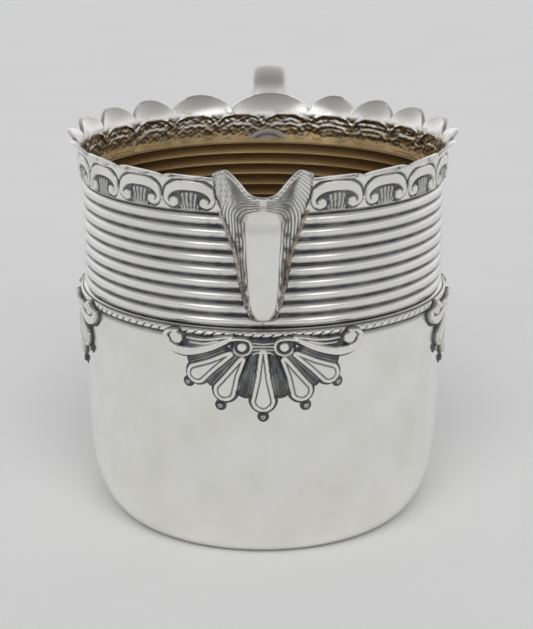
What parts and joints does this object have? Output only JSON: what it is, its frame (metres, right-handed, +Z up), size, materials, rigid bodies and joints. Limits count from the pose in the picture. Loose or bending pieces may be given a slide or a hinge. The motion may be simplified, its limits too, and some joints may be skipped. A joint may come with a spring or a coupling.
{
  "type": "silver cream jug",
  "caption": "Small round silver cream jug with a beak spout, reeded wall, scroll frieze, scalloped rim, shell mounts and loop handle.",
  "frame": {"origin": "centre of the flat base, where the jug stands", "axes": "+Z up, spout towards -Y, handle towards +Y"},
  "size_m": [0.0816, 0.1171, 0.0879],
  "materials": {
    "plain_silver": "polished, worn",
    "reeded_silver": "polished, grooves oxidised dark",
    "ornament_silver": "chased relief, hollows oxidised dark",
    "handle_silver": "polished, worn"
  },
  "bodies": {
    "root": {"bowl": "plain_silver", "rope_moulding": "ornament_silver", "reeded_wall": "reeded_silver", "frieze_rim": "ornament_silver", "spout": "plain_silver", "handle": "handle_silver", "handle_upper_pad": "handle_silver", "handle_lower_pad": "handle_silver", "shell_front": "ornament_silver", "shell_left": "ornament_silver", "shell_back": "ornament_silver", "shell_right": "ornament_silver"}
  },
  "joints": []
}
